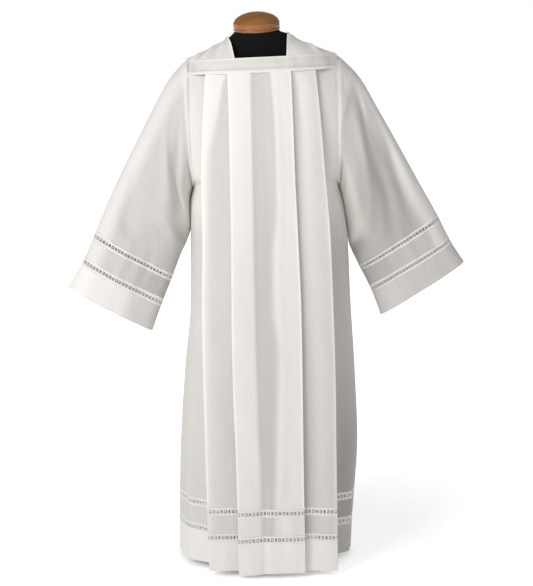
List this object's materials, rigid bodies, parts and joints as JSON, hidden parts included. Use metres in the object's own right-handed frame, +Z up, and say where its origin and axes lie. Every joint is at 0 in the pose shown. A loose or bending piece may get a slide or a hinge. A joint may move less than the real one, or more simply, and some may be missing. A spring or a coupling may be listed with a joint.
{
  "type": "alb on a limbless dress form",
  "caption": "Long white pleated alb with a square neck, a yoke band, wide sleeves and rows of lace insertion, on a limbless dress form with a wooden neck cap.",
  "frame": {"origin": "centre of the stand's underside, on the floor", "axes": "+Z up, -Y out of the front of the garment, +X to the right as seen from in front"},
  "size_m": [1.102, 0.4314, 1.5302],
  "materials": {
    "cotton": "fine plain weave, matte, slight sheen",
    "lace": "openwork insertion lace",
    "jersey": "matte stretch jersey",
    "varnished_wood": "glossy varnish over turned wood",
    "painted_steel": "satin paint"
  },
  "bodies": {
    "root": {"front_panel": "cotton", "front_upper_lace": "lace", "front_mid_band": "cotton", "front_lower_lace": "lace", "front_hem_band": "cotton", "front_yoke_band": "cotton", "back_panel": "cotton", "back_upper_lace": "lace", "back_mid_band": "cotton", "back_lower_lace": "lace", "back_hem_band": "cotton", "back_yoke_band": "cotton", "left_sleeve": "cotton", "left_sleeve_upper_lace": "lace", "left_sleeve_mid_band": "cotton", "left_sleeve_lower_lace": "lace", "left_cuff_band": "cotton", "left_shoulder": "cotton", "right_sleeve": "cotton", "right_sleeve_upper_lace": "lace", "right_sleeve_mid_band": "cotton", "right_sleeve_lower_lace": "lace", "right_cuff_band": "cotton", "right_shoulder": "cotton", "form_torso": "jersey", "form_neck_cap": "varnished_wood", "form_pole": "painted_steel", "form_base": "painted_steel"}
  },
  "joints": []
}
